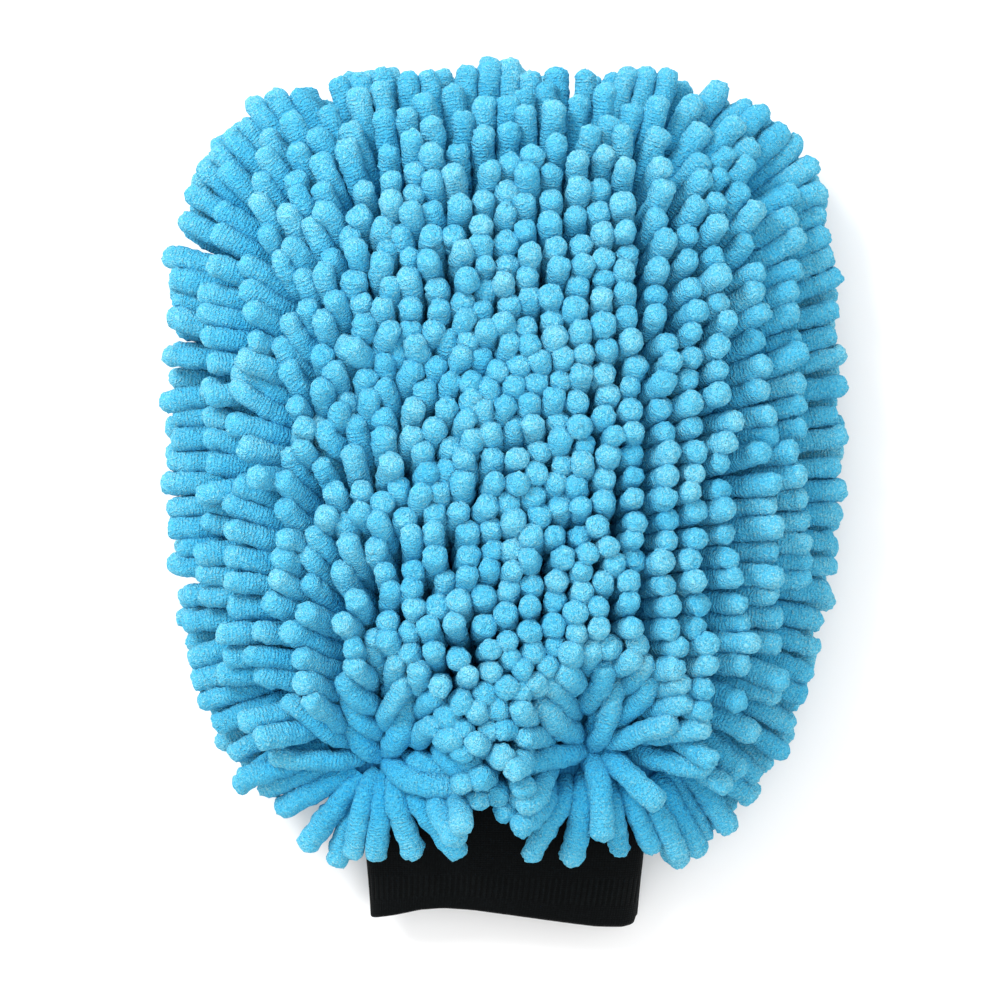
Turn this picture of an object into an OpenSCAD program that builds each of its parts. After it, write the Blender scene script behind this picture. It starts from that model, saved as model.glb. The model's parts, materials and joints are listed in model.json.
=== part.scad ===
// Wash mitt: a flat cloth pouch with rows of chenille noodles on both faces,
// closed by an elasticated rib-knit cuff. It lies on its back face, fingertips towards +Y.

/* [Pouch] */
// Half width of the cloth pouch at its widest line
pouch_half_w = 76; // [70:1:80]
// Place of the widest line along the mitt
widest_y = 30; // [26:1:34]
// From the widest line to the fingertip edge of the cloth
tip_reach = 77; // [75:1:79]
// From the widest line to where the lower outline would close
heel_reach = 130; // [128:1:136]
// Squareness of the cloth's outline above the widest line
tip_power = 5; // [4:0.1:5.4]
// Squareness of the outline below the widest line
heel_power = 2.6; // [2.4:0.1:2.8]
// Line where the pouch is sewn to the cuff
throat_y = -86; // [-88:1:-84]
// Height of the edge seam above the surface that the mitt lies on
seam_z = 27; // [26:0.5:28]
// Rise of the front cloths over the pocket
front_rise = 13.3; // [12:0.1:14]
// Drop of the back cloths under the pocket
back_drop = 10.3; // [9:0.1:11]

/* [Cloth] */
// Thickness of the lining cloth
lining_t = 0.8; // [0.6:0.1:1]
// Thickness of the knitted backing that holds the noodles
backing_t = 1.2; // [1:0.1:1.4]
// Radius of the overlocked bead along the edge
bead_r = 1.3; // [1.1:0.1:1.4]

/* [Pile] */
// Rows of noodles on each face
rows = 24; // [22:1:24]
// Half width of the mitt over the noodles
pile_half_w = 102.5; // [100:0.5:105]
// From the widest line to the tip of the topmost noodles
pile_tip_reach = 101.8; // [100:0.1:103]
// From the widest line to where the lower outline of the pile would close
pile_heel_reach = 150; // [148:1:152]
// Squareness of the pile's outline above the widest line
pile_tip_power = 3.6; // [3.2:0.1:4]
// Height of the noodles over the front cloth
front_pile = 27; // [24:0.5:29]
// Reach of the noodles past the throat, over the cuff
heel_overhang = 20; // [16:1:22]
// Gap between neighbouring rows
row_gap = 0.4; // [0.3:0.1:0.6]

/* [Cuff] */
// Half width of the cuff where it joins the pouch
cuff_half_w = 44.5; // [43:0.5:45]
// Half width of the cuff at its hem
hem_half_w = 41; // [39:0.5:43]
// Lower edge of the cuff
hem_y = -131.2; // [-134:0.2:-128]
// Half height of the slack cuff
cuff_half_h = 9.5; // [9:0.1:10]
// Thickness of the folded double knit
cuff_wall = 2.6; // [2.4:0.1:3]
// Width of the elastic band in the hem
elastic_w = 12; // [10:1:13]

/* [Hidden] */
function row_name(face, k) = str(face, "_row_", k < 10 ? "0" : "", k);

front = 1;
back = -1;
row_pitch = (widest_y + tip_reach - throat_y) / rows;

// Distances of the layers from the seam plane, from the pocket outwards
slack = 0.2;
lining_out = slack + lining_t;
backing_in = lining_out + slack;
backing_out = backing_in + backing_t;
pile_in = backing_out + 2 * slack;
// The bead runs just outside the cloth's edge, and the pile starts past it
bead_off = bead_r + 0.4;
pile_step = bead_off + bead_r + 1.2;
// The first row starts further off the cloth, to clear the seam of the cuff
throat_lift = 2.5;
tip_y = widest_y + tip_reach;

// Points across a cloth, across a row of pile and along the outline
cloth_steps = 20;
pile_steps = 16;
tip_overhang = pile_tip_reach - tip_reach;
// Squareness of a cross-section of the pile on each face, and of the cuff
front_square = 2.4;
back_square = 3;
cuff_square = 2.6;
// The back pile is pressed flat on the surface below
back_press = 1.12;

// The cuff starts past the throat and hangs down until its hem lies on the surface
cuff_top_y = throat_y - 1.9;
hem_clearance = 0.3;
half_split = 0.15;
slot_in = 0.7;
slot_t = 1.2;
elastic_t = 0.8;
elastic_side = 0.2;
hem_fold = 9.5;

// How far y lies from the widest line, as a share of the outline's reach there
function share(y, up, down) = y > widest_y ? (y - widest_y) / up : (widest_y - y) / down;
function outline_power(y, above = tip_power) = y > widest_y ? above : heel_power;
function round_off(s, power) = pow(max(0, 1 - pow(s, power)), 1 / power);
function pouch_w(y) = pouch_half_w * round_off(share(y, tip_reach, heel_reach), outline_power(y));
// Half width of the roots: the outline of the cloth, enlarged past the bead
function root_w(y) = (pouch_half_w + pile_step)
    * round_off(share(y, tip_reach + pile_step, heel_reach + pile_step), outline_power(y));
function pile_part(y) =
    round_off(share(y, pile_tip_reach, pile_heel_reach), outline_power(y, pile_tip_power));

// How full the pocket is at y, and how the cloths arch across it
function fullness(y) = y > widest_y ? 1 - pow(share(y, tip_reach, heel_reach), 3)
    : 1 - 0.45 * pow((widest_y - y) / (widest_y - throat_y), 2);
function arch(u) = 1 - pow(min(1, abs(u)), 2.2);
function swell(face, y) = (face > 0 ? front_rise : back_drop) * fullness(y);
function unit_x(i, steps) = -cos(180 * i / steps);

// One arc of cloth across the pouch at y, a set distance from the seam plane
function cloth_arc(face, y, off) = [
    for (i = [0:cloth_steps]) let (u = unit_x(i, cloth_steps))
    [pouch_w(y) * u, y, seam_z + face * (off + swell(face, y) * arch(u))]
];

// Where the noodles rooted at y end, spreading past the cloth at both ends
function fan(y) = y > widest_y ? tip_overhang * pow(share(y, tip_reach, 1), 2)
    : -heel_overhang * pow((widest_y - y) / (widest_y - throat_y), 3);

// Roots of a row: over the cloth, stepping down past the bead to the seam plane
function root_arc(face, y, half_w, cloth_w, lift = 0) = [
    for (i = [0:pile_steps])
    let (u = unit_x(i, pile_steps), at_edge = i == 0 || i == pile_steps)
    let (over_cloth = cloth_w > 0 ? swell(face, y) * arch(u * half_w / cloth_w) : 0)
    [half_w * u, y, seam_z + face * (at_edge ? slack : pile_in + lift + over_cloth)]
];
function flat_arc(face, y, half_w) = [
    for (i = [0:pile_steps]) [half_w * unit_x(i, pile_steps), y, seam_z + face * slack]
];

// Tips of a row: the rounded upper outline, or the lower one pressed flat at z = 0
function tip_height(face, y) = face > 0
    ? (front_rise + pile_in + front_pile) * pow(pile_part(y), y > widest_y ? 0.8 : 1.6)
    : seam_z * back_press * pow(pile_part(y), 0.3);
function squared(v, power) = sign(v) * pow(abs(v), 2 / power);
function tip_arc(face, y) = [
    for (i = [0:pile_steps])
    let (a = 180 - 180 * i / pile_steps, power = face > 0 ? front_square : back_square)
    let (h = slack + (tip_height(face, y) - slack) * squared(sin(a), power))
    [pile_half_w * pile_part(y) * squared(cos(a), power), y, max(0, seam_z + face * h)]
];

// One arc of the cuff's knit at y, set in from its outer face
function cuff_part(y) = (cuff_top_y - y) / (cuff_top_y - hem_y);
function blend(a, b, part) = a + (b - a) * part;
function cuff_z(y) = blend(seam_z + 0.5, cuff_half_h + hem_clearance, cuff_part(y));
function cuff_arc(face, y, inset, start) = [
    for (i = [0:cloth_steps])
    let (a = 180 - 180 * i / cloth_steps, high = cuff_half_h - inset - start)
    [
        (blend(cuff_half_w, hem_half_w, cuff_part(y)) - inset) * squared(cos(a), cuff_square),
        y,
        cuff_z(y) + face * (start + high * squared(sin(a), cuff_square))
    ]
];

// Closed solid between outer and inner arcs, one pair for each section along +Y
module shell(face, outer, inner) {
    n = len(outer[0]);
    last = len(outer) - 1;
    function o(k, i) = 2 * n * k + i;
    function p(k, i) = 2 * n * k + n + i;
    function quad(a, b, c, d) = [[a, b, c], [a, c, d]];
    skin = [for (k = [0:last - 1]) for (i = [0:n - 2])
        each quad(o(k, i), o(k + 1, i), o(k + 1, i + 1), o(k, i + 1))];
    under = [for (k = [0:last - 1]) for (i = [0:n - 2])
        each quad(p(k, i), p(k, i + 1), p(k + 1, i + 1), p(k + 1, i))];
    sides = [for (k = [0:last - 1])
        each concat(
            quad(o(k, 0), p(k, 0), p(k + 1, 0), o(k + 1, 0)),
            quad(o(k, n - 1), o(k + 1, n - 1), p(k + 1, n - 1), p(k, n - 1))
        )];
    ends = [for (i = [0:n - 2])
        each concat(
            quad(p(0, i), o(0, i), o(0, i + 1), p(0, i + 1)),
            [[p(last, i), o(last, i + 1), o(last, i)], [p(last, i), p(last, i + 1), o(last, i + 1)]]
        )];
    faces = concat(skin, under, sides, ends);
    points = [for (k = [0:last]) each concat(outer[k], inner[k])];
    polyhedron(points, face > 0 ? faces : [for (f = faces) [f[2], f[1], f[0]]]);
}

// Sections of the cloths, closer together where the outline turns
throat_turn = asin(pow((widest_y - throat_y) / heel_reach, heel_power / 2));
last_turn = 88;
turn_steps = 22;
function turn(k) = blend(-throat_turn, last_turn, k / turn_steps);
function outline_y(t) = t > 0 ? widest_y + tip_reach * pow(sin(t), 2 / tip_power)
    : widest_y - heel_reach * pow(sin(-t), 2 / heel_power);
cloth_ys = [for (k = [0:turn_steps]) outline_y(turn(k))];

module cloth(face, from, to) {
    shell(
        face,
        [for (y = cloth_ys) cloth_arc(face, y, to)],
        [for (y = cloth_ys) cloth_arc(face, y, from)]
    );
}

module front_backing() {
    color("#3f97bd") cloth(front, backing_in, backing_out);
}

module back_backing() {
    color("#3f97bd") cloth(back, backing_in, backing_out);
}

module front_lining() {
    color("#8fb7c6") cloth(front, slack, lining_out);
}

module back_lining() {
    color("#8fb7c6") cloth(back, slack, lining_out);
}

// The edge bead follows the outline from one side of the throat round the tip to the other
bead_sides = 8;
bead_steps = 56;
bead_turns = [for (k = [0:bead_steps]) blend(-throat_turn, 180 + throat_turn, k / bead_steps)];
function outline_at(t) = t > 90
    ? let (m = outline_at(180 - t)) [-m[0], m[1]]
    : [pouch_w(outline_y(t)), outline_y(t)];
function across(t) =
    let (a = outline_at(t - 0.5), b = outline_at(t + 0.5), d = b - a)
    [d[1], -d[0]] / norm(d);
function bead_ring(t) =
    let (c = outline_at(t), out = across(t))
    [for (j = [0:bead_sides - 1])
        let (a = 360 * j / bead_sides, r = bead_off + bead_r * cos(a))
        [c[0] + out[0] * r, c[1] + out[1] * r, seam_z + bead_r * sin(a)]];

module edge_seam() {
    n = bead_sides;
    rings = len(bead_turns);
    sides = [for (k = [0:rings - 2]) for (j = [0:n - 1])
        let (a = k * n + j, b = k * n + (j + 1) % n)
        each [[a, b, b + n], [a, b + n, a + n]]];
    start = [[for (j = [n - 1:-1:0]) j]];
    finish = [[for (j = [0:n - 1]) (rings - 1) * n + j]];
    color("#4aa6cf")
        polyhedron([for (t = bead_turns) each bead_ring(t)], concat(sides, start, finish));
}

// A row of noodles as one plain strip of pile
module row(face, k) {
    y0 = throat_y + (k - 1) * row_pitch + row_gap / 2;
    y1 = throat_y + k * row_pitch - row_gap / 2;
    ys = [y0, y1];
    lifts = [k == 1 ? throat_lift : 0, 0];
    shell(
        face,
        [for (y = ys) tip_arc(face, y + fan(y))],
        [for (i = [0, 1]) root_arc(face, ys[i], root_w(ys[i]), pouch_w(ys[i]), lifts[i])]
    );
}

// The last row wraps round the fingertip edge
module tip_row(face) {
    y0 = throat_y + (rows - 1) * row_pitch + row_gap / 2;
    y1 = tip_y - 1.5;
    past_bead = bead_off + bead_r + 0.8;
    brim_w = root_w(tip_y + past_bead);
    rooted = [y0, y1];
    shell(
        face,
        concat(
            [for (y = rooted) tip_arc(face, y + fan(y))],
            [for (back_off = [1.8, 1.2, 0.6]) tip_arc(face, widest_y + pile_tip_reach - back_off)]
        ),
        concat(
            [for (y = rooted) root_arc(face, y, root_w(y), pouch_w(y))],
            [for (past = [past_bead / 2, past_bead]) root_arc(face, tip_y + past, root_w(tip_y + past), 0)],
            [flat_arc(face, tip_y + past_bead + 1.4, brim_w - 2)]
        )
    );
}

module pile_row(face, k) {
    color("#4eb0d9") if (k < rows) row(face, k); else tip_row(face);
}

// Half of the cuff's tube, with a slot in its fold for the elastic
cuff_ys = [for (part = [1, 0.75, 0.5, 0.25, 0]) blend(cuff_top_y, hem_y, part)];
slot_ys = [hem_y + hem_fold - elastic_side, hem_y + hem_fold + elastic_w + elastic_side];
band_ys = [hem_y + hem_fold, hem_y + hem_fold + elastic_w];

module cuff_half(face) {
    difference() {
        shell(
            face,
            [for (y = cuff_ys) cuff_arc(face, y, 0, half_split)],
            [for (y = cuff_ys) cuff_arc(face, y, cuff_wall, half_split)]
        );
        shell(
            face,
            [for (y = slot_ys) cuff_arc(face, y, slot_in, -half_split)],
            [for (y = slot_ys) cuff_arc(face, y, slot_in + slot_t, -half_split)]
        );
    }
}

module elastic_half(face) {
    inset = slot_in + (slot_t - elastic_t) / 2;
    shell(
        face,
        [for (y = band_ys) cuff_arc(face, y, inset, half_split)],
        [for (y = band_ys) cuff_arc(face, y, inset + elastic_t, half_split)]
    );
}

module cuff_front() {
    color("#17191c") cuff_half(front);
}

module cuff_back() {
    color("#17191c") cuff_half(back);
}

module wrist_elastic_front() {
    color("#d9d6cc") elastic_half(front);
}

module wrist_elastic_back() {
    color("#d9d6cc") elastic_half(back);
}

// Overlocked seam that joins the cuff to the cloths, all round the throat
module cuff_seam() {
    seam_w = 1.3;
    seam_out = 0.2;
    profile = concat(
        [for (p = cuff_arc(front, cuff_top_y, -seam_out, 0)) [p[0], p[2]]],
        [for (i = [cloth_steps - 1:-1:1])
            let (p = cuff_arc(back, cuff_top_y, -seam_out, 0)[i]) [p[0], p[2]]]
    );
    hollow = concat(
        [for (p = cuff_arc(front, cuff_top_y, cuff_wall, 0)) [p[0], p[2]]],
        [for (i = [cloth_steps - 1:-1:1])
            let (p = cuff_arc(back, cuff_top_y, cuff_wall, 0)[i]) [p[0], p[2]]]
    );
    color("#1f4152")
        translate([0, throat_y - 0.3, 0])
        rotate([90, 0, 0])
        linear_extrude(seam_w)
        difference() {
            polygon(profile);
            polygon(hollow);
        }
}

front_backing();
back_backing();
front_lining();
back_lining();
edge_seam();
cuff_front();
cuff_back();
wrist_elastic_front();
wrist_elastic_back();
cuff_seam();
for (k = [1:rows]) pile_row(front, k);
for (k = [1:rows]) pile_row(back, k);
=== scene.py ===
import json
import math

import bmesh
import bpy
import numpy as np
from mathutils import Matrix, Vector, kdtree
from mathutils.bvhtree import BVHTree


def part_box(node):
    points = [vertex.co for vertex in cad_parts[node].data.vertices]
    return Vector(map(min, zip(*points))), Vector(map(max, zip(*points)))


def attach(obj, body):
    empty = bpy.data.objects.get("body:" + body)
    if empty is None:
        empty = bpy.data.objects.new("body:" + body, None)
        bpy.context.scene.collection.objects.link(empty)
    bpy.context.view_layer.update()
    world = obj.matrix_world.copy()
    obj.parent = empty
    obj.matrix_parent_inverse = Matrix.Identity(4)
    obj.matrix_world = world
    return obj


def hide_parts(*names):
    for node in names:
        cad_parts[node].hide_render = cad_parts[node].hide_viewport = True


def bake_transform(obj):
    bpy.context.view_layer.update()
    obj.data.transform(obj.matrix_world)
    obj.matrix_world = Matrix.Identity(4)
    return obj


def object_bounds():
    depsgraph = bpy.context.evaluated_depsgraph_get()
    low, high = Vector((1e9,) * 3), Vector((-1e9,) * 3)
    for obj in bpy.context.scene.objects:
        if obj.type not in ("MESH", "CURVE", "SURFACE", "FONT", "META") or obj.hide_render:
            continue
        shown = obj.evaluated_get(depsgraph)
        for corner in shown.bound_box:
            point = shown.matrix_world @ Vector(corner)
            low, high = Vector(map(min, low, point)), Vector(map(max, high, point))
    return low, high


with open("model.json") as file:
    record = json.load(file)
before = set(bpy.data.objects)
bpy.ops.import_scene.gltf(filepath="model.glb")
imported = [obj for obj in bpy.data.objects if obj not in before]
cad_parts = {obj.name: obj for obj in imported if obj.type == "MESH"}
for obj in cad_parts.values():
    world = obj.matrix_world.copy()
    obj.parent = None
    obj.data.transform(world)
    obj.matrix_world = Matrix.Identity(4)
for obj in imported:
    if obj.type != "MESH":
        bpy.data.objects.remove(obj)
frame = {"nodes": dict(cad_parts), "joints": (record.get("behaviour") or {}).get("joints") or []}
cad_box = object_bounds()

MM = 0.001
rng = np.random.default_rng(7)

# ---------------------------------------------------------------- sizes from the frame

FRONT, BACK = 1, -1
FACE_NAME = {FRONT: "front", BACK: "back"}
NODES = frame["nodes"]
ROWS = sum(name.startswith("front_row_") for name in NODES)
JOINT = {joint["name"]: joint for joint in frame["joints"]}
CLOTH_LOW, CLOTH_HIGH = (np.array(corner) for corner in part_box("front_backing"))
ROW_PITCH = (CLOTH_HIGH[1] - CLOTH_LOW[1]) / ROWS
KNUCKLE_Y = JOINT["knuckle_bend"]["pos_m"][1]

# Noodles: radius and length, and how much each of them strays from these
NOODLE_R = 3.55 * MM
NOODLE_LENGTH = 30 * MM
R_SPREAD = (0.9, 1.1)
LENGTH_SPREAD = (0.90, 1.05)
# The share of a noodle's length that its round tip takes
CAP = NOODLE_R / NOODLE_LENGTH
# How many links a noodle has while it settles, and how many sides its mesh has
LINKS = 6
SIDES = 14
# Roots: their spacing across and along the mitt, how far each column is shifted from the last,
# how far they stray, and how far they keep from the roots at the edge
SPACING_X, SPACING_Y, SLANT_Y = 6.5 * MM, 6.1 * MM, 2.0 * MM
ROOT_STRAY = 0.3 * MM
ROOT_CLEAR = 5.4 * MM
# Roots at the edge: how far inside the outline, their spacing measured this far outside it, and
# how much closer together they are round the throat
EDGE_INSET = 1.6 * MM
EDGE_SPACING = 7.1 * MM
EDGE_REACH = 16 * MM
THROAT_CROWD = 1.3
# Half the width of the throat
THROAT_HALF = 46 * MM
# Half of the band round the knuckles. Noodle rows in it are baked in place and attached to no body
BEND_HALF = 26 * MM


# ---------------------------------------------------------------- materials

def srgb(code):
    """Linear colour of an sRGB hex value."""
    parts = [int(code[i:i + 2], 16) / 255 for i in (1, 3, 5)]
    linear = [c / 12.92 if c <= 0.04045 else ((c + 0.055) / 1.055) ** 2.4 for c in parts]
    return (*linear, 1.0)


def add(tree, kind, settings=None, **links):
    """Add a node. Settings are its properties; links are its inputs, as values or as sockets."""
    node = tree.nodes.new(kind)
    for key, value in (settings or {}).items():
        setattr(node, key, value)
    for key, value in links.items():
        socket = node.inputs[int(key[1:])] if key[0] == "_" else node.inputs[key.replace("_", " ")]
        if isinstance(value, bpy.types.NodeSocket):
            tree.links.new(value, socket)
        else:
            socket.default_value = value
    return node


def new_material(name, roughness, **fixed):
    """A material with one Principled shader, its tree and that shader."""
    material = bpy.data.materials.new(name)
    material.use_nodes = True
    tree = material.node_tree
    shader = tree.nodes["Principled BSDF"]
    shader.inputs["Roughness"].default_value = roughness
    for key, value in fixed.items():
        shader.inputs[key.replace("_", " ")].default_value = value
    return material, tree, shader


def ramp(tree, factor, stops):
    """Colour ramp from (position, hex) pairs."""
    node = add(tree, "ShaderNodeValToRGB", Fac=factor)
    elements = node.color_ramp.elements
    while len(elements) < len(stops):
        elements.new(0.5)
    for element, (position, code) in zip(elements, stops):
        element.position = position
        element.color = srgb(code)
    return node.outputs["Color"]


def maths(tree, operation, a, b=0.0, c=0.0):
    """One step of arithmetic."""
    return add(tree, "ShaderNodeMath", {"operation": operation}, _0=a, _1=b, _2=c).outputs[0]


def chenille_microfibre():
    """Polyester chenille: a soft pile twisted round a core. So it has fine ridges across it, no
    gloss and a faint pale bloom. Painted shade makes it darker towards the root, between the noodles."""
    material, tree, shader = new_material(
        "chenille microfibre, tufted", 0.95, Sheen_Weight=0.12, Sheen_Roughness=0.6,
        Sheen_Tint=srgb("#a8e4ff"), Specular_IOR_Level=0.1, IOR=1.5)
    place = add(tree, "ShaderNodeTexCoord").outputs["Object"]
    along = add(tree, "ShaderNodeAttribute", {"attribute_name": "along"}).outputs["Fac"]
    shade = add(tree, "ShaderNodeAttribute", {"attribute_name": "shade"}).outputs["Fac"]
    patch = add(tree, "ShaderNodeTexNoise", Vector=place, Scale=1 / (14 * MM), Detail=1.0)
    tuft = add(tree, "ShaderNodeTexNoise", Vector=place, Scale=1 / (0.9 * MM), Detail=2.0, Roughness=0.6)
    fibre = add(tree, "ShaderNodeTexNoise", Vector=place, Scale=1 / (0.5 * MM), Detail=1.0, Roughness=0.7)
    # Ridges every 1.1 mm along the yarn, bent and broken up by the tufts, and lost at the tip
    turns = maths(tree, "MULTIPLY", along, 2 * math.pi / (1.1 * MM))
    bend = add(tree, "ShaderNodeTexNoise", Vector=place, Scale=1 / (3.2 * MM), Detail=1.0)
    wobble = maths(tree, "MULTIPLY", bend.outputs["Fac"], 9.0)
    ridge = maths(tree, "SINE", maths(tree, "ADD", turns, wobble))
    reach = maths(tree, "DIVIDE", along, NOODLE_LENGTH)
    shaft = add(tree, "ShaderNodeMapRange", Value=reach, From_Min=0.97, From_Max=0.85).outputs["Result"]
    ridge = maths(tree, "MULTIPLY", ridge, maths(tree, "MULTIPLY", shaft, tuft.outputs["Fac"]))
    fuzz = maths(tree, "MULTIPLY", maths(tree, "SUBTRACT", fibre.outputs["Fac"], 0.5), 0.85)
    tufts = maths(tree, "MULTIPLY", maths(tree, "SUBTRACT", tuft.outputs["Fac"], 0.5), 0.7)
    own = maths(tree, "MULTIPLY", maths(tree, "SUBTRACT", shade, 0.5), 0.08)
    cast = maths(tree, "MULTIPLY", maths(tree, "SUBTRACT", patch.outputs["Fac"], 0.5), 0.3)
    # Painted shade: the colour gets paler from root to tip, so it is darkest deep between the noodles
    painted_root_shade = maths(tree, "MULTIPLY_ADD", reach, 0.4, 0.4)
    pile = maths(tree, "ADD", painted_root_shade, maths(tree, "ADD", fuzz, tufts))
    # The ridges also darken the colour in their grooves and lighten it on their crests: painted shade
    rest = maths(tree, "ADD", maths(tree, "ADD", own, cast), maths(tree, "MULTIPLY", ridge, 0.1))
    tone = maths(tree, "ADD", pile, rest)
    colour = ramp(tree, tone, [
        (0.0, "#047abf"), (0.3, "#1f9fd8"), (0.55, "#3db4e1"), (0.78, "#5ac4e7"), (1.0, "#92dcef")])
    rough = maths(tree, "ADD", tuft.outputs["Fac"], maths(tree, "MULTIPLY", fibre.outputs["Fac"], 1.1))
    height = maths(tree, "ADD", maths(tree, "MULTIPLY", ridge, 0.27), rough)
    bump = add(tree, "ShaderNodeBump", Height=height, Strength=1.0, Distance=1.1 * MM)
    tree.links.new(colour, shader.inputs["Base Color"])
    tree.links.new(bump.outputs["Normal"], shader.inputs["Normal"])
    return material


def fine_cloth(name, dark, light, wale, roughness=0.9, sheen=0.2):
    """Finely knitted or woven cloth: its small loops show as columns, a wale apart, crossed by
    closer courses, with some lint."""
    material, tree, shader = new_material(
        name, roughness, Sheen_Weight=sheen, Sheen_Roughness=0.5, Specular_IOR_Level=0.2, IOR=1.5)
    place = add(tree, "ShaderNodeTexCoord").outputs["Object"]
    spread = add(tree, "ShaderNodeSeparateXYZ", Vector=place)
    column = maths(tree, "SINE", maths(tree, "MULTIPLY", spread.outputs["X"], 2 * math.pi / wale))
    course = maths(tree, "SINE", maths(tree, "MULTIPLY", spread.outputs["Y"], 2 * math.pi / (0.7 * wale)))
    loops = maths(tree, "ADD", maths(tree, "MULTIPLY", column, 0.3), maths(tree, "MULTIPLY", course, 0.2))
    lint = add(tree, "ShaderNodeTexNoise", Vector=place, Scale=1 / (2.5 * MM), Detail=4.0, Roughness=0.6)
    # Painted shade: the colour is darker in the hollows between the loops, lighter on their tops
    tone = maths(tree, "ADD", loops, lint.outputs["Fac"])
    bump = add(tree, "ShaderNodeBump", Height=loops, Strength=0.6, Distance=0.25 * MM)
    tree.links.new(ramp(tree, tone, [(0.15, dark), (0.9, light)]), shader.inputs["Base Color"])
    tree.links.new(bump.outputs["Normal"], shader.inputs["Normal"])
    return material


def rib_knit():
    """Black polyester and elastane knit, folded double: fine wales all over, and near the hem a
    band of deeper ribs where the elastic gathers it. It is matt, with a little dark lint."""
    material, tree, shader = new_material(
        "black rib knit, polyester and elastane", 0.9, Sheen_Weight=0.02, Sheen_Roughness=0.4,
        Specular_IOR_Level=0.08, IOR=1.5)
    place = add(tree, "ShaderNodeTexCoord").outputs["Object"]
    girth = add(tree, "ShaderNodeAttribute", {"attribute_name": "girth"}).outputs["Fac"]
    down = add(tree, "ShaderNodeAttribute", {"attribute_name": "down"}).outputs["Fac"]
    # Wales are really 0.6 mm apart. At 0.9 mm they show
    wale = maths(tree, "SINE", maths(tree, "MULTIPLY", girth, 2 * math.pi / (0.9 * MM)))
    course = maths(tree, "SINE", maths(tree, "MULTIPLY", down, 2 * math.pi / (0.8 * MM)))
    rib = maths(tree, "SINE", maths(tree, "MULTIPLY", girth, 2 * math.pi / (1.9 * MM)))
    # The middle of the band of ribs is 34 mm from the throat
    off_band = maths(tree, "ABSOLUTE", maths(tree, "SUBTRACT", down, 34 * MM))
    band = add(tree, "ShaderNodeMapRange", {"interpolation_type": "SMOOTHSTEP"},
               Value=off_band, From_Min=5.5 * MM, From_Max=4 * MM)
    ribs = maths(tree, "MULTIPLY", rib, band.outputs["Result"])
    lint = add(tree, "ShaderNodeTexNoise", Vector=place, Scale=1 / (1.2 * MM), Detail=5.0, Roughness=0.7)
    knit = maths(tree, "ADD", maths(tree, "MULTIPLY", wale, 0.16), maths(tree, "MULTIPLY", course, 0.12))
    height = maths(tree, "ADD", knit, maths(tree, "MULTIPLY", ribs, 0.5))
    # Painted shade: the colour is darker in the hollows of the knit and the ribs, lighter on their crests
    tone = maths(tree, "ADD", maths(tree, "MULTIPLY", height, 0.35), lint.outputs["Fac"])
    bump = add(tree, "ShaderNodeBump", Height=height, Strength=0.7, Distance=0.4 * MM)
    colour = ramp(tree, tone, [(0.25, "#010202"), (0.5, "#030506"), (0.75, "#090d0e")])
    tree.links.new(colour, shader.inputs["Base Color"])
    tree.links.new(bump.outputs["Normal"], shader.inputs["Normal"])
    return material


def spun_thread(name, dark, light):
    """Spun polyester sewing thread, overlocked: matt, with the twist of its plies."""
    material, tree, shader = new_material(name, 0.8, Sheen_Weight=0.2, Specular_IOR_Level=0.3, IOR=1.5)
    place = add(tree, "ShaderNodeTexCoord").outputs["Object"]
    plies = add(tree, "ShaderNodeTexNoise", Vector=place, Scale=1 / (0.5 * MM), Detail=2.0)
    bump = add(tree, "ShaderNodeBump", Height=plies.outputs["Fac"], Strength=0.6, Distance=0.2 * MM)
    colour = ramp(tree, plies.outputs["Fac"], [(0.3, dark), (0.7, light)])
    tree.links.new(colour, shader.inputs["Base Color"])
    tree.links.new(bump.outputs["Normal"], shader.inputs["Normal"])
    return material


CHENILLE = chenille_microfibre()
BACKING = fine_cloth("polyester base cloth, weft knitted", "#156d9e", "#2487b8", 1.2 * MM)
LINING = fine_cloth("polyester lining mesh, warp knitted", "#5b8798", "#9cc0cc", 2.2 * MM)
CUFF_KNIT = rib_knit()
ELASTIC = fine_cloth("elastic webbing, woven over rubber", "#b9b4a6", "#e6e2d8", 1.2 * MM, 0.75, 0.1)
EDGE_THREAD = spun_thread("blue overlock thread, spun polyester", "#1f78a8", "#55b4dd")
CUFF_THREAD = spun_thread("black overlock thread, spun polyester", "#0b0d0f", "#24292d")


# ---------------------------------------------------------------- surfaces of the frame

def node_tree(names):
    """Search tree over the surfaces of some CAD nodes."""
    points, faces = [], []
    for name in names:
        mesh = NODES[name].data
        start = len(points)
        points += [v.co.copy() for v in mesh.vertices]
        faces += [[start + i for i in p.vertices] for p in mesh.polygons]
    return BVHTree.FromPolygons(points, faces)


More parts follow.
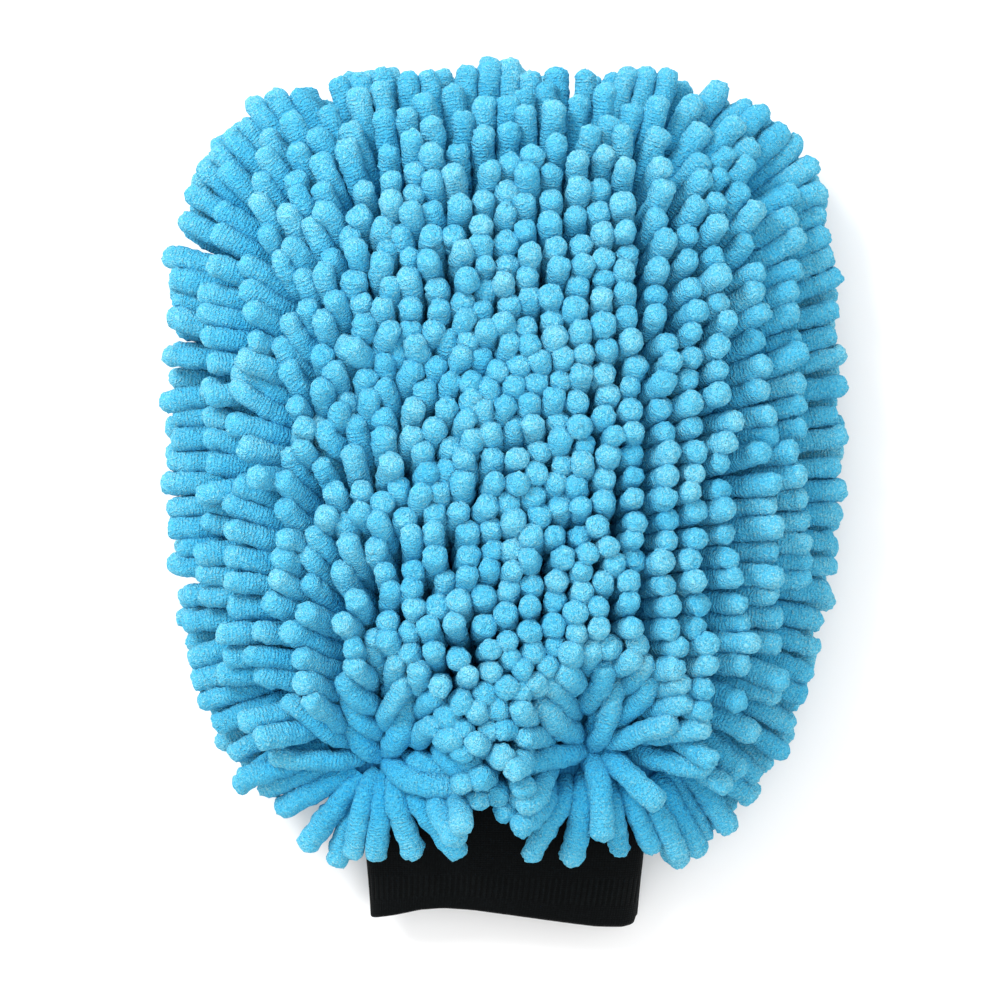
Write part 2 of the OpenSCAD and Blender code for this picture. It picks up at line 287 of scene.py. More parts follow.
class HeightMap:
    """Outer surface of one face of the mitt, as heights on a 2 mm grid, empty outside it."""
    STEP = 2 * MM

    def __init__(self, names, face):
        tree = node_tree(names)
        low, high = np.array(cad_box[0]), np.array(cad_box[1])
        self.low = low[:2]
        shape = np.ceil((high[:2] - low[:2]) / self.STEP).astype(int) + 1
        self.face, self.tree = face, tree
        self.grid = np.full(shape, np.nan)
        for i in range(shape[0]):
            for j in range(shape[1]):
                self.grid[i, j] = self.exact(*(self.low + np.array([i, j]) * self.STEP))

    def exact(self, x, y):
        """Height at one place, straight from the surface."""
        hit = self.tree.ray_cast(Vector((x, y, self.face)), Vector((0, 0, -self.face)))[0]
        return np.nan if hit is None else hit.z

    def at(self, x, y):
        """Height at each x, y, or nan."""
        i = np.clip((x - self.low[0]) / self.STEP, 0, self.grid.shape[0] - 1.001)
        j = np.clip((y - self.low[1]) / self.STEP, 0, self.grid.shape[1] - 1.001)
        a, b = i.astype(int), j.astype(int)
        u, v = i - a, j - b
        g = self.grid
        return (g[a, b] * (1 - u) * (1 - v) + g[a + 1, b] * u * (1 - v)
                + g[a, b + 1] * (1 - u) * v + g[a + 1, b + 1] * u * v)

    def slope(self, x, y, span=4 * MM):
        """Slopes along X and Y, zero where the surface ends."""
        dx = (self.at(x + span, y) - self.at(x - span, y)) / (2 * span)
        dy = (self.at(x, y + span) - self.at(x, y - span)) / (2 * span)
        return np.nan_to_num(dx), np.nan_to_num(dy)


cloth_map = {face: HeightMap([FACE_NAME[face] + "_backing"], face) for face in (FRONT, BACK)}
outer_map = {
    FRONT: HeightMap(["front_backing", "cuff_front"], FRONT),
    BACK: HeightMap(["back_backing", "cuff_back"], BACK),
}


# ---------------------------------------------------------------- how the noodles lie

# How the pile is combed: x, y in mm, the way the noodles lean in degrees from +X, and how far,
# from 0 upright to 1 lying flat
COMB = [
    (-76, 60, 168, 0.97), (-76, 30, 178, 0.97), (-76, 0, 180, 0.97), (-74, -28, 186, 0.97),
    (-68, -52, 197, 0.97), (-60, -70, 218, 0.97), (-50, -84, 243, 0.97), (-73, 84, 146, 0.97),
    (-62, 99, 129, 0.97), (-36, 105, 105, 0.94), (0, 107, 90, 0.94), (36, 105, 76, 0.94),
    (62, 99, 46, 0.97), (73, 84, 30, 0.97), (76, 60, 20, 0.97), (76, 30, 10, 0.97),
    (76, 0, 4, 0.97), (74, -28, -8, 0.97), (68, -52, -26, 0.97), (60, -70, -44, 0.97),
    (50, -84, -62, 0.97), (-66, 62, 165, 0.93), (-65, 45, 172, 0.93), (-64, 28, 178, 0.93),
    (-64, 10, 178, 0.93), (-64, -8, 180, 0.93), (-63, -26, 186, 0.93), (-54, 90, 116, 0.90),
    (-27, 90, 98, 0.80), (0, 90, 90, 0.76), (27, 90, 82, 0.78), (50, 90, 52, 0.90),
    (-52, 70, 114, 0.88), (-30, 72, 97, 0.66), (0, 72, 90, 0.56), (28, 72, 82, 0.54),
    (50, 72, 56, 0.72), (-51, 50, 112, 0.88), (-32, 50, 94, 0.62), (-12, 50, 88, 0.54),
    (6, 50, 86, 0.50), (28, 50, 78, 0.45), (50, 50, 46, 0.55), (64, 50, 22, 0.90),
    (-51, 30, 112, 0.88), (-41, 28, 100, 0.78), (-28, 28, 86, 0.68), (-12, 30, 76, 0.62),
    (6, 30, 80, 0.55), (26, 30, 74, 0.42), (46, 28, 34, 0.45), (60, 25, 12, 0.80),
    (-51, 4, 114, 0.86), (-41, 2, 102, 0.74), (-28, 4, 84, 0.66), (-12, 4, 74, 0.62),
    (6, 4, 76, 0.54), (26, 4, 72, 0.38), (46, 4, 20, 0.42), (60, 4, 5, 0.78),
    (-53, -22, 138, 0.88), (-42, -22, 116, 0.72), (-30, -24, 92, 0.60), (-14, -24, 80, 0.56),
    (6, -24, 78, 0.40), (26, -24, 70, 0.32), (44, -24, 18, 0.40), (58, -24, -4, 0.84),
    (-56, -44, 186, 0.93), (-45, -44, 140, 0.66), (-30, -44, 95, 0.54), (-14, -46, 86, 0.30),
    (6, -46, 82, 0.26), (24, -44, 84, 0.36), (44, -44, 12, 0.54), (57, -46, -18, 0.92),
    (-8, -60, 90, 0.12), (-6, -72, 250, 0.05), (0, -80, 260, 0.10), (-6, -86, 262, 0.14),
    (3, -86, 275, 0.14), (-20, -86, 262, 0.95), (40, -84, -72, 0.95), (20, -86, 270, 0.95),
    (-40, -86, 255, 0.95)]
# How far each place in the table reaches across and along the mitt, in mm
COMB_REACH = (6.5, 9.5)
# Points that the noodles part around, in mm, with how far that reaches: one at each side of the
# throat
PARTINGS = [(-36, -77, 20), (26, -73, 20)]
# Where the noodles stray most from their neighbours, in mm, with how far that reaches
MESSY = [(-48, 20, 30), (-4, -78, 20)]
# How far neighbours stray together, how much more they do where it is messy, and over how many mm
STRAY, MESSY_STRAY, STRAY_SPAN = 0.04, 0.07, 26
# How far each noodle strays on its own, and again how much more where it is messy
OWN_STRAY, MESSY_OWN_STRAY = 0.04, 0.04
# The most that any noodle lies down, and how far the back ones do under the mitt's weight
FLATTEST = 0.975
BACK_LEAN = 0.93
# Roots are drawn in towards a parting: to the first share at it and by the second less beyond
# this band round it
DRAWN_IN, DRAWN_OUT = 0.42, 0.58
DRAWN_BAND = (3 * MM, 17 * MM)


def smooth(x, low, high):
    """Soft step from 0 at low to 1 at high."""
    t = np.clip((x - low) / (high - low), 0, 1)
    return t * t * (3 - 2 * t)


def combed(x, y):
    """The lean at each point, blended from the nearest places in the table."""
    px, py, angle, size = np.array(COMB, float).T
    gap = ((x[:, None] - px) / COMB_REACH[0]) ** 2 + ((y[:, None] - py) / COMB_REACH[1]) ** 2
    weight = np.exp(-(gap - gap.min(1, keepdims=True)) / 2)
    weight /= weight.sum(1, keepdims=True)
    way = np.radians(angle)
    return np.stack([weight @ (size * np.cos(way)), weight @ (size * np.sin(way))], 1)


def wander(x, y, scale):
    """A smooth random level vector at each point, so that neighbours stray together."""
    total = np.zeros((len(x), 2))
    for _ in range(7):
        turn, phase = rng.uniform(0, 2 * math.pi, 2)
        wave = np.sin((x * math.cos(turn) + y * math.sin(turn)) * 2 * math.pi / scale + phase)
        total += wave[:, None] * rng.normal(0, 0.4, 2)
    return total


def lean(roots, face):
    """Which way each noodle leans and how far: a level vector, 0 upright to 1 lying flat."""
    x, y = roots[:, 0] / MM, roots[:, 1] / MM
    field = combed(x, y)
    # Noodles fan out around each parting
    for px, py, reach in PARTINGS:
        away = np.stack([x - px, y - py], 1)
        gap = np.linalg.norm(away, axis=1, keepdims=True)
        # Below it they hang down more than sideways
        away[:, 0] *= np.where(away[:, 1] < 0, 0.55, 1.0)
        pull = 0.97 * np.exp(-(gap / reach) ** 4)
        way = away / np.maximum(np.linalg.norm(away, axis=1, keepdims=True), 0.3)
        field = field * (1 - pull) + 0.95 * pull * way
    messy = sum(np.exp(-((x - mx) ** 2 + (y - my) ** 2) / (2 * size ** 2)) for mx, my, size in MESSY)
    messy = np.minimum(messy, 1)[:, None]
    field += (STRAY + MESSY_STRAY * messy) * wander(x, y, STRAY_SPAN)
    field += rng.normal(0, 1, field.shape) * (OWN_STRAY + MESSY_OWN_STRAY * messy)
    if face == BACK:
        # Beside the cuff the back ones lie away from it
        field = BACK_LEAN * field / np.maximum(np.linalg.norm(field, axis=1, keepdims=True), 0.25)
        beside = (smooth(-y, 60, 72) * smooth(-np.abs(x), -50, -42))[:, None]
        field = field * (1 - beside) + beside * np.column_stack([0.006 * x, np.full(len(x), 0.9)])
    size = np.linalg.norm(field, axis=1, keepdims=True)
    return field * np.minimum(1, FLATTEST / np.maximum(size, 1e-6))


def edge_gap(x, y):
    """How far each point lies inside the cloth's outline, roughly. The throat doesn't count."""
    steps = np.arange(0, 33, 1.5) * MM
    gap = np.full(len(x), steps[-1])
    for turn in np.linspace(0, 2 * math.pi, 16, endpoint=False):
        for step in steps[::-1]:
            px, py = x + step * math.cos(turn), y + step * math.sin(turn)
            throat = (py < CLOTH_LOW[1] + 1 * MM) & (np.abs(px) < THROAT_HALF)
            outside = np.isnan(cloth_map[FRONT].at(px, py)) & ~throat
            gap = np.where(outside, np.minimum(gap, step), gap)
    return gap


def edge_roots(face):
    """Roots just inside the cloth's outline. They are closer together at its corners, where the
    tips spread most, and round the throat."""
    surface = cloth_map[face]
    middle = np.array([0, 10 * MM])
    rim = []
    for turn in np.linspace(0, 2 * math.pi, 360, endpoint=False):
        way = np.array([math.cos(turn), math.sin(turn)])
        inner, outer = 0.0, 150 * MM
        for _ in range(12):
            half = (inner + outer) / 2
            if np.isnan(surface.exact(*(middle + way * half))):
                outer = half
            else:
                inner = half
        rim.append(middle + way * (inner - EDGE_INSET))
    rim = np.array(rim + rim[:1])
    along = np.roll(rim[:-1], -3, axis=0) - np.roll(rim[:-1], 3, axis=0)
    out = np.column_stack([along[:, 1], -along[:, 0]]) / np.linalg.norm(along, axis=1, keepdims=True)
    tips = rim[:-1] + EDGE_REACH * out
    tips = np.concatenate([tips, tips[:1]])
    throat = (rim[:-1, 1] < CLOTH_LOW[1] + 4 * MM) & (np.abs(rim[:-1, 0]) < THROAT_HALF)
    steps = np.linalg.norm(np.diff(tips, axis=0), axis=1) * np.where(throat, THROAT_CROWD, 1)
    length = np.r_[0, np.cumsum(steps)]
    count = int(length[-1] / EDGE_SPACING)
    stops = (np.arange(count) + (0.5 if face == BACK else 0.0)) / count * length[-1]
    return np.column_stack([np.interp(stops, length, rim[:, axis]) for axis in (0, 1)])


def roots_on(face):
    """Roots round the edge and on a slanted lattice inside it, and the way each leaves the cloth."""
    columns = int(CLOTH_HIGH[0] / SPACING_X) + 1
    points = []
    for i in range(-columns, columns + 1):
        shift = (i * SLANT_Y + (face < 0) * 3 * MM) % SPACING_Y
        for y in np.arange(CLOTH_LOW[1] - SPACING_Y + shift, CLOTH_HIGH[1], SPACING_Y):
            points.append((i * SPACING_X, y))
    points, edge = np.array(points), edge_roots(face)
    clear = np.linalg.norm(points[:, None] - edge, axis=2).min(1) > ROOT_CLEAR
    points = np.concatenate([points[clear], edge])
    points += rng.normal(0, ROOT_STRAY, points.shape)
    for px, py, _ in PARTINGS:
        # Rows are sewn closer together at a parting
        centre = np.array([px, py]) * MM
        gap = np.linalg.norm(points - centre, axis=1, keepdims=True)
        points = centre + (points - centre) * (DRAWN_IN + DRAWN_OUT * smooth(gap, *DRAWN_BAND))
    z = np.array([cloth_map[face].exact(x, y) for x, y in points])
    points, z = points[~np.isnan(z)], z[~np.isnan(z)]
    dx, dy = cloth_map[face].slope(points[:, 0], points[:, 1])
    normal = np.stack([-dx * face, -dy * face, np.full_like(dx, face)], 1)
    normal /= np.linalg.norm(normal, axis=1, keepdims=True)
    return np.column_stack([points, z]), normal


# The slope of noodles that lie over the edge of each face, and of those that hang at the throat
DROOP = {FRONT: -0.14, BACK: -0.10}
HANG = -0.35
# How far noodles at the edge leave the cloth the way they lean, and not square to it
RIM_TURN = 0.85
# The share of its length over which a noodle bends over, and the share that is worn off between
# the partings
BENT_BY = 0.55
WORN = 0.3


def lay_out():
    """Every noodle before it settles: chains of points that leave the cloth and bend over."""
    chains, faces, radii = [], [], []
    for face in (FRONT, BACK):
        roots, normal = roots_on(face)
        level = lean(roots, face)
        rise = np.sqrt(np.maximum(1 - (level ** 2).sum(1), 0.02))
        # Near the cloth's edge noodles lie over the ones below them, and at it they leave sideways
        gap = edge_gap(roots[:, 0], roots[:, 1])
        droop = (1 - smooth(gap, 0, 30 * MM)) * smooth(np.linalg.norm(level, axis=1), 0.5, 0.9)
        # At the throat they hang over the cuff
        hang = (1 - smooth(roots[:, 1] - CLOTH_LOW[1], 4 * MM, 18 * MM)) * smooth(-level[:, 1], 0.5, 0.9)
        up = rise * face * (1 - droop) + DROOP[face] * droop
        aim = np.column_stack([level, up * (1 - hang) + HANG * hang])
        rim = (1 - smooth(gap, 0, 15 * MM))[:, None]
        start = normal * (1 - RIM_TURN * rim) + aim * RIM_TURN * rim
        count = len(roots)
        length = (NOODLE_LENGTH * rng.uniform(*LENGTH_SPREAD, count))[:, None]
        if face == FRONT:
            # Between the partings they are worn shorter, so that the cuff shows below them
            x, y = roots[:, 0] / MM, roots[:, 1] / MM
            length *= 1 - WORN * (smooth(-y, 74, 82) * smooth(-np.abs(x - 1), -15, -8))[:, None]
        chain = np.empty((count, LINKS + 1, 3))
        chain[:, 0] = roots
        for k in range(LINKS):
            turn = smooth((k + 0.5) / LINKS, 0.0, BENT_BY)
            way = start * (1 - turn) + aim * turn
            way /= np.linalg.norm(way, axis=1, keepdims=True)
            chain[:, k + 1] = chain[:, k] + way * length / LINKS
        chains.append(chain)
        faces.append(np.full(count, face))
        radii.append(NOODLE_R * rng.uniform(*R_SPREAD, count))
    return np.concatenate(chains), np.concatenate(faces), np.concatenate(radii)


def near_pairs(points, owner, reach):
    """Pairs of points of different noodles that are within reach."""
    tree = kdtree.KDTree(len(points))
    for index, point in enumerate(points):
        tree.insert(point, index)
    tree.balance()
    first, second = [], []
    for index, point in enumerate(points):
        for _, other, _ in tree.find_range(point, reach):
            if other > index and owner[other] != owner[index]:
                first.append(index)
                second.append(other)
    return np.array(first), np.array(second)


# Settling: its rounds, and in each of them the pull back to a noodle's own curve, the sag, the
# share of an overlap that each of two noodles gives way, and the share of a kink that is
# straightened
ROUNDS = 90
OWN_CURVE = 0.09
SAG = 0.05 * MM
GIVE = 0.33
STRAIGHTEN = 0.15
# How much of its radius a noodle keeps when another presses on it
FIRM = 0.96
# The height that noodles keep above the surface below the mitt, so that fuzz doesn't sink in
FUZZ_ROOM = 1.2 * MM


def settle(chain, face, radius):
    """Let the noodles push each other apart, rest on the cloth, the cuff and the surface below,
    and sag, while each keeps its length and mostly its own curve."""
    chain = chain.copy()
    count = len(chain)
    ideal = chain - chain[:, :1]
    step = np.linalg.norm(chain[:, 1] - chain[:, 0], axis=1)
    # Near its root a noodle gives way, and its last point is the top of its round end
    girth = np.array([0.5, 0.8, 0.9, 1.0, 1.0, 1.0, 0.45])[None, :] * radius[:, None]
    loose = np.arange(1, LINKS + 1)
    owner = np.repeat(np.arange(count), len(loose))
    soft_r = girth[:, loose].reshape(-1) * FIRM
    front = face[:, None] > 0
    lowest = 0.98 * radius[:, None] + FUZZ_ROOM
    for turn in range(ROUNDS):
        chain[:, 1:] += OWN_CURVE * (chain[:, :1] + ideal[:, 1:] - chain[:, 1:])
        chain[:, 2:, 2] -= SAG
        points = chain[:, loose].reshape(-1, 3)
        if turn % 5 == 0:
            first, second = near_pairs(points, owner, 2.5 * NOODLE_R)
        gap = points[second] - points[first]
        far = np.maximum(np.linalg.norm(gap, axis=1), 1e-6)
        overlap = np.maximum(soft_r[first] + soft_r[second] - far, 0)
        push = gap * (GIVE * overlap / far)[:, None]
        move = np.zeros_like(points)
        np.add.at(move, second, push)
        np.add.at(move, first, -push)
        chain[:, loose] = (points + move).reshape(count, len(loose), 3)
        chain[:, 1:-1] += STRAIGHTEN * (0.5 * (chain[:, :-2] + chain[:, 2:]) - chain[:, 1:-1])
        x, y, z = chain[..., 0], chain[..., 1], chain[..., 2]
        over, under = outer_map[FRONT].at(x, y), outer_map[BACK].at(x, y)
        lift = np.where(front, over + 0.9 * girth - z, 0)
        chain[:, 1:, 2] += np.maximum(np.nan_to_num(lift), 0)[:, 1:]
        drop = np.where(front, 0, z - (under - 0.9 * girth))
        chain[:, 1:, 2] -= np.maximum(np.nan_to_num(drop), 0)[:, 1:]
        chain[:, 1:, 2] = np.maximum(chain[:, 1:, 2], lowest)
        for k in range(LINKS):
            along = chain[:, k + 1] - chain[:, k]
            size = np.maximum(np.linalg.norm(along, axis=1), 1e-9)
            chain[:, k + 1] = chain[:, k] + along * (step / size)[:, None]
    return chain


def smooth_path(chain, stops):
    """Points at the given fractions of each chain, on a smooth curve through its links."""
    ends = [2 * chain[:, :1] - chain[:, 1:2], chain, 2 * chain[:, -1:] - chain[:, -2:-1]]
    padded = np.concatenate(ends, 1)
    out = []
    for stop in stops:
        k = min(int(stop * LINKS), LINKS - 1)
        t = stop * LINKS - k
        a, b, c, d = (padded[:, k + i] for i in range(4))
        out.append(0.5 * (2 * b + (c - a) * t + (2 * a - 5 * b + 4 * c - d) * t ** 2
                          + (3 * b - a - 3 * c + d) * t ** 3))
    return np.stack(out, 1)


# ---------------------------------------------------------------- geometry nodes

def noodle_nodes():
    """Turns centre lines into noodles: thin at the root, round at the tip, slightly lumpy."""
    tree = bpy.data.node_groups.new("noodles along lines", "GeometryNodeTree")
    face = tree.interface
    face.new_socket("Geometry", in_out="INPUT", socket_type="NodeSocketGeometry")
    face.new_socket("Sides", in_out="INPUT", socket_type="NodeSocketInt")
    for name in ("Lump size", "Lump depth", "Fuzz size", "Fuzz depth"):
        face.new_socket(name, in_out="INPUT", socket_type="NodeSocketFloat")
    face.new_socket("Material", in_out="INPUT", socket_type="NodeSocketMaterial")
    face.new_socket("Geometry", in_out="OUTPUT", socket_type="NodeSocketGeometry")
    given = add(tree, "NodeGroupInput").outputs
    lines = add(tree, "GeometryNodeMeshToCurve", Mesh=given["Geometry"])
    spline = add(tree, "GeometryNodeSplineParameter").outputs
    shape = add(tree, "ShaderNodeFloatCurve", _1=spline["Factor"])
    # The noodle's thickness along it, and its tip, a little blunter than a ball
    cap = [(1 - CAP * (1 - c), (1 - c ** 2.8) ** 0.4) for c in (0.0, 0.3, 0.58, 0.8, 0.94)]
    profile = [(0, 0.85), (0.12, 0.94), (0.3, 1.0)] + cap + [(1, 0.16)]
    points = shape.mapping.curves[0].points
    while len(points) < len(profile):
        points.new(0.5, 0.5)
    for point, (x, y) in zip(points, profile):
        point.location = (x, y)
        point.handle_type = "VECTOR"
    shape.mapping.update()
    thick = add(tree, "GeometryNodeInputNamedAttribute", {"data_type": "FLOAT"}, Name="thickness")
    along = add(tree, "GeometryNodeStoreNamedAttribute", {"data_type": "FLOAT", "domain": "POINT"},
                Geometry=lines.outputs["Curve"], Name="along", Value=spline["Length"])
    ring = add(tree, "GeometryNodeCurvePrimitiveCircle", Resolution=given["Sides"], Radius=1.0)
    width = maths(tree, "MULTIPLY", shape.outputs["Value"], thick.outputs["Attribute"])
    skin = add(tree, "GeometryNodeCurveToMesh", Curve=along.outputs["Geometry"],
               Profile_Curve=ring.outputs["Curve"], Scale=width, Fill_Caps=True)
    depth = 0.0
    for layer in ("Lump", "Fuzz"):
        scale = maths(tree, "DIVIDE", 1.0, given[layer + " size"])
        noise = add(tree, "ShaderNodeTexNoise", Scale=scale, Detail=1.0)
        swing = maths(tree, "SUBTRACT", noise.outputs["Fac"], 0.5)
        depth = maths(tree, "MULTIPLY_ADD", swing, given[layer + " depth"], depth)
    out = add(tree, "ShaderNodeVectorMath", {"operation": "SCALE"},
              Vector=add(tree, "GeometryNodeInputNormal").outputs["Normal"], Scale=depth)
    lumps = add(tree, "GeometryNodeSetPosition", Geometry=skin.outputs["Mesh"], Offset=out.outputs["Vector"])
    shaded = add(tree, "GeometryNodeSetShadeSmooth", Geometry=lumps.outputs["Geometry"])
    whole = add(tree, "GeometryNodeRealizeInstances", Geometry=shaded.outputs["Geometry"])
    done = add(tree, "GeometryNodeSetMaterial", Geometry=whole.outputs["Geometry"],
               Material=given["Material"])
    add(tree, "NodeGroupOutput", Geometry=done.outputs["Geometry"])
    return tree


def grow(name, mesh, tree, **inputs):
    """Run a geometry nodes tree on a mesh and keep the result as a plain mesh object."""
    source = bpy.data.objects.new(name + "_lines", mesh)
    bpy.context.scene.collection.objects.link(source)
    modifier = source.modifiers.new("grow", "NODES")
    modifier.node_group = tree
    sockets = {item.name: item.identifier for item in tree.interface.items_tree if item.in_out == "INPUT"}
    for key, value in inputs.items():
        modifier[sockets[key.replace("_", " ")]] = value
    evaluated = source.evaluated_get(bpy.context.evaluated_depsgraph_get())
    result = bpy.data.meshes.new_from_object(evaluated)
    result.name = name
    bpy.data.objects.remove(source)
    return link(name, result)


def link(name, mesh):
    """A new object in the scene that shows a mesh."""
    piece = bpy.data.objects.new(name, mesh)
    bpy.context.scene.collection.objects.link(piece)
    return piece


def store(mesh, **values):
    """Keep a value for each point of a mesh, for geometry nodes and materials."""
    for key, value in values.items():
        attribute = mesh.attributes.new(key, "FLOAT", "POINT")
        attribute.data.foreach_set("value", value.astype(np.float32))


def lines_mesh(name, paths, thickness, shade):
    """One mesh of open lines, with each line's thickness and shade on its points."""
    count, length = paths.shape[:2]
    index = np.arange(count * length).reshape(count, length)
    edges = np.stack([index[:, :-1], index[:, 1:]], -1).reshape(-1, 2)
    mesh = bpy.data.meshes.new(name)
    mesh.from_pydata(paths.reshape(-1, 3).tolist(), edges.tolist(), [])
    store(mesh, thickness=np.repeat(thickness, length), shade=np.repeat(shade, length))
    return mesh


# ---------------------------------------------------------------- the noodles

chain, chain_face, chain_r = lay_out()
chain = settle(chain, chain_face, chain_r)
# Places along a noodle where its mesh has a ring, closer together at the tip
stops = [*np.linspace(0, 1 - CAP, 18), *(1 - CAP * np.array([0.72, 0.46, 0.24, 0.08, 0]))]
paths = smooth_path(chain, stops)
shades = rng.uniform(0, 1, len(paths))
row_of = np.clip(((chain[:, 0, 1] - CLOTH_LOW[1]) / ROW_PITCH).astype(int), 0, ROWS - 1)
NOODLES = noodle_nodes()

for face in (FRONT, BACK):
    for row in range(ROWS):
        name = f"{FACE_NAME[face]}_row_{row + 1:02d}"
        mine = (chain_face == face) & (row_of == row)
        mesh = lines_mesh(name, paths[mine], chain_r[mine], shades[mine])
        piece = grow("noodles_" + name, mesh, NOODLES, Sides=SIDES, Lump_size=3.6 * MM,
                     Lump_depth=1.8 * MM, Fuzz_size=0.9 * MM, Fuzz_depth=1.7 * MM, Material=CHENILLE)
        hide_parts(name)
        row_y = CLOTH_LOW[1] + (row + 0.5) * ROW_PITCH
        share = (row_y - KNUCKLE_Y + BEND_HALF) / (2 * BEND_HALF)
        if 0 < share < 1:
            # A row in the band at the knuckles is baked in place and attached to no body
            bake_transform(piece)
        elif row < 2 and face == FRONT:
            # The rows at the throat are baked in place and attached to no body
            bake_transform(piece)
        else:
            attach(piece, "palm" if row_y < KNUCKLE_Y else "fingers")


# ---------------------------------------------------------------- cloths

def cut_copy(node, name, material, spacing=5 * MM):
    """A copy of a cloth, joined up and with cuts across it."""
    piece = link(name, NODES[node].data.copy())
    work = bmesh.new()
    work.from_mesh(piece.data)
    bmesh.ops.remove_doubles(work, verts=work.verts, dist=0.01 * MM)
    low, high = (corner[1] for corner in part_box(node))
    for y in np.arange(low + spacing, high, spacing):
        everything = work.verts[:] + work.edges[:] + work.faces[:]
        bmesh.ops.bisect_plane(work, geom=everything, plane_co=(0, y, 0), plane_no=(0, 1, 0))
    for poly in work.faces:
        poly.smooth = True
    work.to_mesh(piece.data)
    work.free()
    piece.data.materials.clear()
    piece.data.materials.append(material)
    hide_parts(node)
    return piece


def bend_at_knuckles(piece):
    """Bake a cloth's placement into its mesh."""
    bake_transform(piece)


# The box of each panel with 3 mm of seam allowance all round. Its rounded corners leave 0.85 of it
for face in (FRONT, BACK):
    side = FACE_NAME[face]
    backing = cut_copy(side + "_backing", side + "_base_cloth", BACKING)
    bend_at_knuckles(backing)
    lining = cut_copy(side + "_lining", side + "_pocket_lining", LINING)
    bend_at_knuckles(lining)
seam = cut_copy("edge_seam", "edge_overlock", EDGE_THREAD)
bend_at_knuckles(seam)


# ---------------------------------------------------------------- cuff

# How square the cuff's section is, from 2 for an ellipse
CUFF_SQUARE = 2.6
# The thickness of the folded wall, and of each of its two plies
CUFF_WALL = 2.6 * MM
PLY = 0.65 * MM
# How far the upper edge of the hem is drawn up, at each x, in mm
HEM_WAVE = [(-42, 2.4), (-32, 4.3), (-24, 6.2), (-17, 6.8), (-8, 6.2), (10, 3.6), (30, 0.6),
            (38, 0), (42, 0.6)]


def cuff_end(lowest):
    """Centre and half sizes of the cuff's section at its hem or at the throat."""
    points = np.array([v.co for n in ("cuff_front", "cuff_back") for v in NODES[n].data.vertices])
    y = points[:, 1].min() if lowest else points[:, 1].max()
    ring = points[np.abs(points[:, 1] - y) < 0.5 * MM]
    low, high = ring.min(0), ring.max(0)
    return np.array([0, y, (low[2] + high[2]) / 2]), (high - low)[[0, 2]] / 2


throat_c, throat_half = cuff_end(False)
hem_c, hem_half = cuff_end(True)


def squared(v):
    """Push a sine or cosine outwards, so that a circle becomes a rounded box."""
    return np.sign(v) * np.abs(v) ** (2 / CUFF_SQUARE)


def tube_faces(rows, around):
    """Faces of a closed loop of rings."""
    return [[i * around + j, i * around + (j + 1) % around,
             (i + 1) % rows * around + (j + 1) % around, (i + 1) % rows * around + j]
            for i in range(rows) for j in range(around)]


def hem_rise(x, upper):
    """How far the hem is drawn up at x: it waves as slack cloth does."""
    crest = np.interp(x / MM, *zip(*HEM_WAVE))
    return np.where(upper, crest, np.maximum(crest + 0.8, 2.6)) * MM


def cuff_mesh(around=120):
    """The folded tube: down the outer ply, round the hem, up the inner ply, and back between."""
    outer = [(t, 0.0) for t in np.linspace(0, 0.97, 26)]
    hem = [(1 - 0.03 * (1 - math.sin(a)), CUFF_WALL / 2 * (1 - math.cos(a)))
           for a in np.linspace(0.4, math.pi - 0.4, 6)]
    inner = [(t, CUFF_WALL) for t in np.linspace(0.97, 0, 20)]
    behind = [(t, CUFF_WALL - PLY) for t in np.linspace(0.0, 0.955, 12)]
    turn = [(0.972, CUFF_WALL / 2)]
    back = [(t, PLY) for t in np.linspace(0.955, 0.0, 12)]
    profile = np.array(outer + hem + inner + behind + turn + back)
    angle = np.linspace(0, 2 * math.pi, around, endpoint=False)
    t, inset = profile[:, :1], profile[:, 1:]
    half = throat_half + (hem_half - throat_half) * t[..., None]
    cx, cz = squared(np.cos(angle))[None], squared(np.sin(angle))[None]
    # Soft folds run down from the gathered seam
    pleat = 0.5 * MM * np.sin(9 * angle + 0.6)[None] * (1 - t) ** 1.5
    slack = 0.5 * MM * np.sin(3 * angle + 5 * t + 1.0) * t
    x = (half[..., 0] - inset) * cx
    z = (half[..., 1] - inset + (pleat + slack) * np.abs(cz)) * cz
    rise = hem_rise(x, cz > 0) * t ** 3
    y = throat_c[1] + (hem_c[1] - throat_c[1]) * t + rise
    # Near the hem the two plies slip sideways over each other
    x = x + np.where(cz > 0, -2.2, 1.2) * np.abs(cz) ** 0.5 * MM * t ** 3
    # The cuff keeps its slope, and its underside stays on the surface below
    mid = throat_c[2] + (hem_c[2] - throat_c[2]) * (t - rise / (throat_c[1] - hem_c[1]))
    z = np.maximum(z + mid, 0.15 * MM + inset * 0.6)
    girth = np.cumsum(np.r_[0, np.hypot(np.diff(cx[0]) * throat_half[0], np.diff(cz[0]) * throat_half[1])])
    points = np.stack([x, y, z], -1).reshape(-1, 3)
    mesh = bpy.data.meshes.new("wrist_cuff")
    mesh.from_pydata(points.tolist(), [], tube_faces(len(profile), around))
    length = np.linalg.norm(hem_c - throat_c)
    store(mesh, girth=np.tile(girth, len(profile)), down=np.repeat(profile[:, 0] * length, around))
    return mesh


def outwards(mesh):
    """Make a closed mesh's faces point out and shade it smooth."""
    work = bmesh.new()
    work.from_mesh(mesh)
    bmesh.ops.recalc_face_normals(work, faces=work.faces)
    for poly in work.faces:
        poly.smooth = True
    work.to_mesh(mesh)
    work.free()
    return mesh


cuff = link("wrist_cuff", outwards(cuff_mesh()))
cuff.data.materials.append(CUFF_KNIT)
# The way the cuff runs
down_cuff = Vector(hem_c - throat_c).normalized()
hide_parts("cuff_front", "cuff_back")
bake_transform(cuff)

# The elastic sewn into the cuff, baked in place
for side in ("front", "back"):
    elastic = cut_copy("wrist_elastic_" + side, "elastic_webbing_" + side, ELASTIC, 6 * MM)
    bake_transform(elastic)


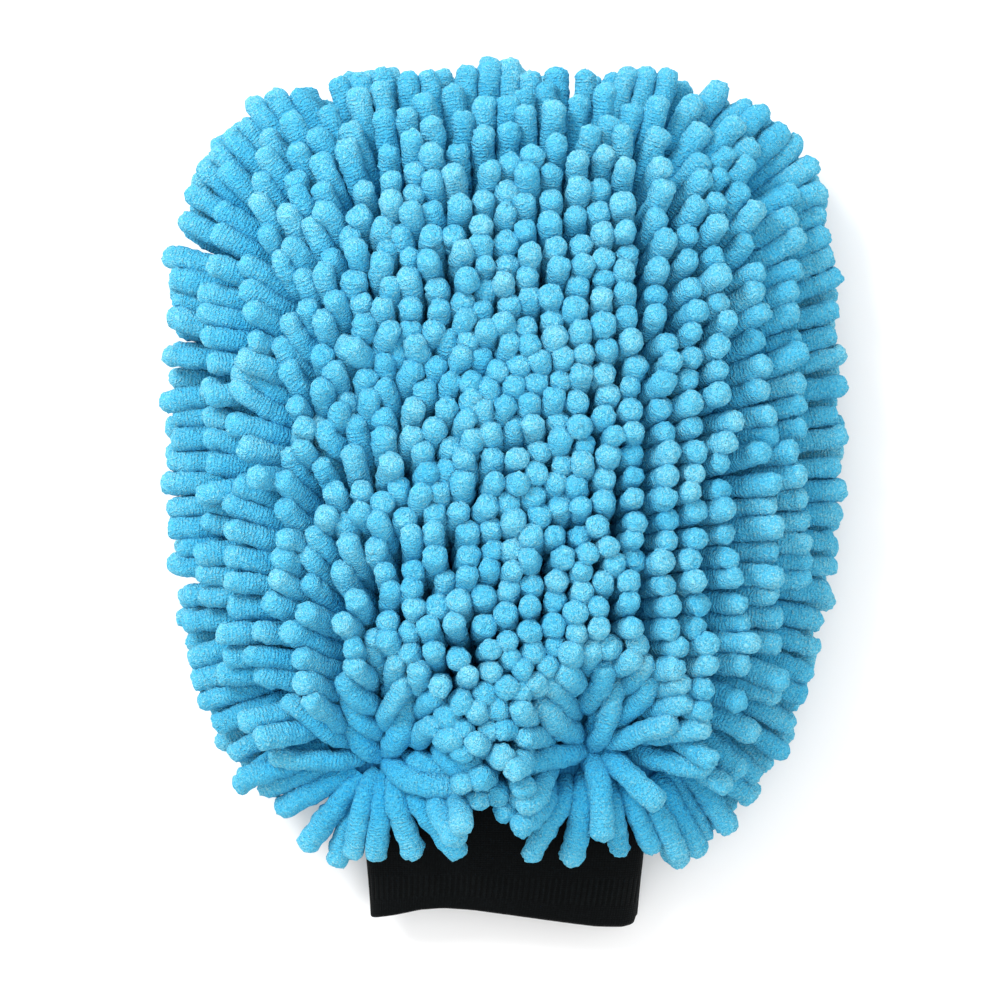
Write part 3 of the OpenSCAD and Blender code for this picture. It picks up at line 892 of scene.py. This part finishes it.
def throat_seam_mesh(around=96, wide=4 * MM, thick=0.5 * MM):
    """Overlocked seam allowance round the throat: a soft band over the top of the cuff."""
    angle = np.linspace(0, 2 * math.pi, around, endpoint=False)
    section = [(s, 0.5 * thick * (1 + math.sin(math.pi * s))) for s in np.linspace(0, 1, 8)]
    loop = section + [(s, -0.1 * MM) for s in np.linspace(1, 0, 4)]
    rings = []
    for s, out in loop:
        centre = throat_c + np.array([0, 1.4 * MM, 0]) + np.array(down_cuff) * s * wide
        ripple = 0.1 * MM * np.sin(40 * angle)
        x = (throat_half[0] + out + ripple) * squared(np.cos(angle))
        z = centre[2] + (throat_half[1] + out + ripple) * squared(np.sin(angle))
        rings.append(np.stack([x, np.full(around, centre[1]), z], -1))
    mesh = bpy.data.meshes.new("throat_overlock")
    mesh.from_pydata(np.concatenate(rings).tolist(), [], tube_faces(len(loop), around))
    return outwards(mesh)


throat_seam = link("throat_overlock", throat_seam_mesh())
throat_seam.data.materials.append(CUFF_THREAD)
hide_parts("cuff_seam")
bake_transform(throat_seam)


# ---------------------------------------------------------------- floor, light and camera

def floor():
    """Plain pale floor under the mitt."""
    material, tree, shader = new_material("pale matt board", 0.9)
    shader.inputs["Base Color"].default_value = srgb("#f7f7f7")
    mesh = bpy.data.meshes.new("floor")
    half = 3.0
    corners = [(-half, -half, 0), (half, -half, 0), (half, half, 0), (-half, half, 0)]
    mesh.from_pydata(corners, [], [[0, 1, 2, 3]])
    mesh.materials.append(material)
    link("floor", mesh)


def soft_light(name, place, size, power):
    """Round white softbox aimed at the mitt."""
    lamp = bpy.data.lights.new(name, "AREA")
    lamp.shape, lamp.size, lamp.energy = "DISK", size, power
    thing = bpy.data.objects.new(name, lamp)
    thing.location = place
    thing.rotation_euler = (Vector((0, 0, 0.03)) - Vector(place)).to_track_quat("-Z", "Y").to_euler()
    bpy.context.scene.collection.objects.link(thing)


floor()
soft_light("key_softbox", (-0.75, 0.75, 1.0), 0.6, 17)
soft_light("overhead_softbox", (0.25, -0.15, 1.5), 1.4, 6.5)

world = bpy.data.worlds.new("studio")
world.use_nodes = True
world.node_tree.nodes["Background"].inputs["Color"].default_value = srgb("#ffffff")
world.node_tree.nodes["Background"].inputs["Strength"].default_value = 1.0
bpy.context.scene.world = world
bpy.context.scene.view_settings.view_transform = "Standard"

# The view is straight down on the front face. The picture is 305 mm wide at mid thickness.
VIEW_WIDTH, FOCAL, SENSOR = 305 * MM, 100.0, 36.0
lens = bpy.data.cameras.new("camera")
lens.lens, lens.sensor_width = FOCAL, SENSOR
camera = bpy.data.objects.new("camera", lens)
camera.location = (-1.5 * MM, 1.5 * MM, 30 * MM + VIEW_WIDTH * FOCAL / SENSOR)
bpy.context.scene.collection.objects.link(camera)
bpy.context.scene.camera = camera
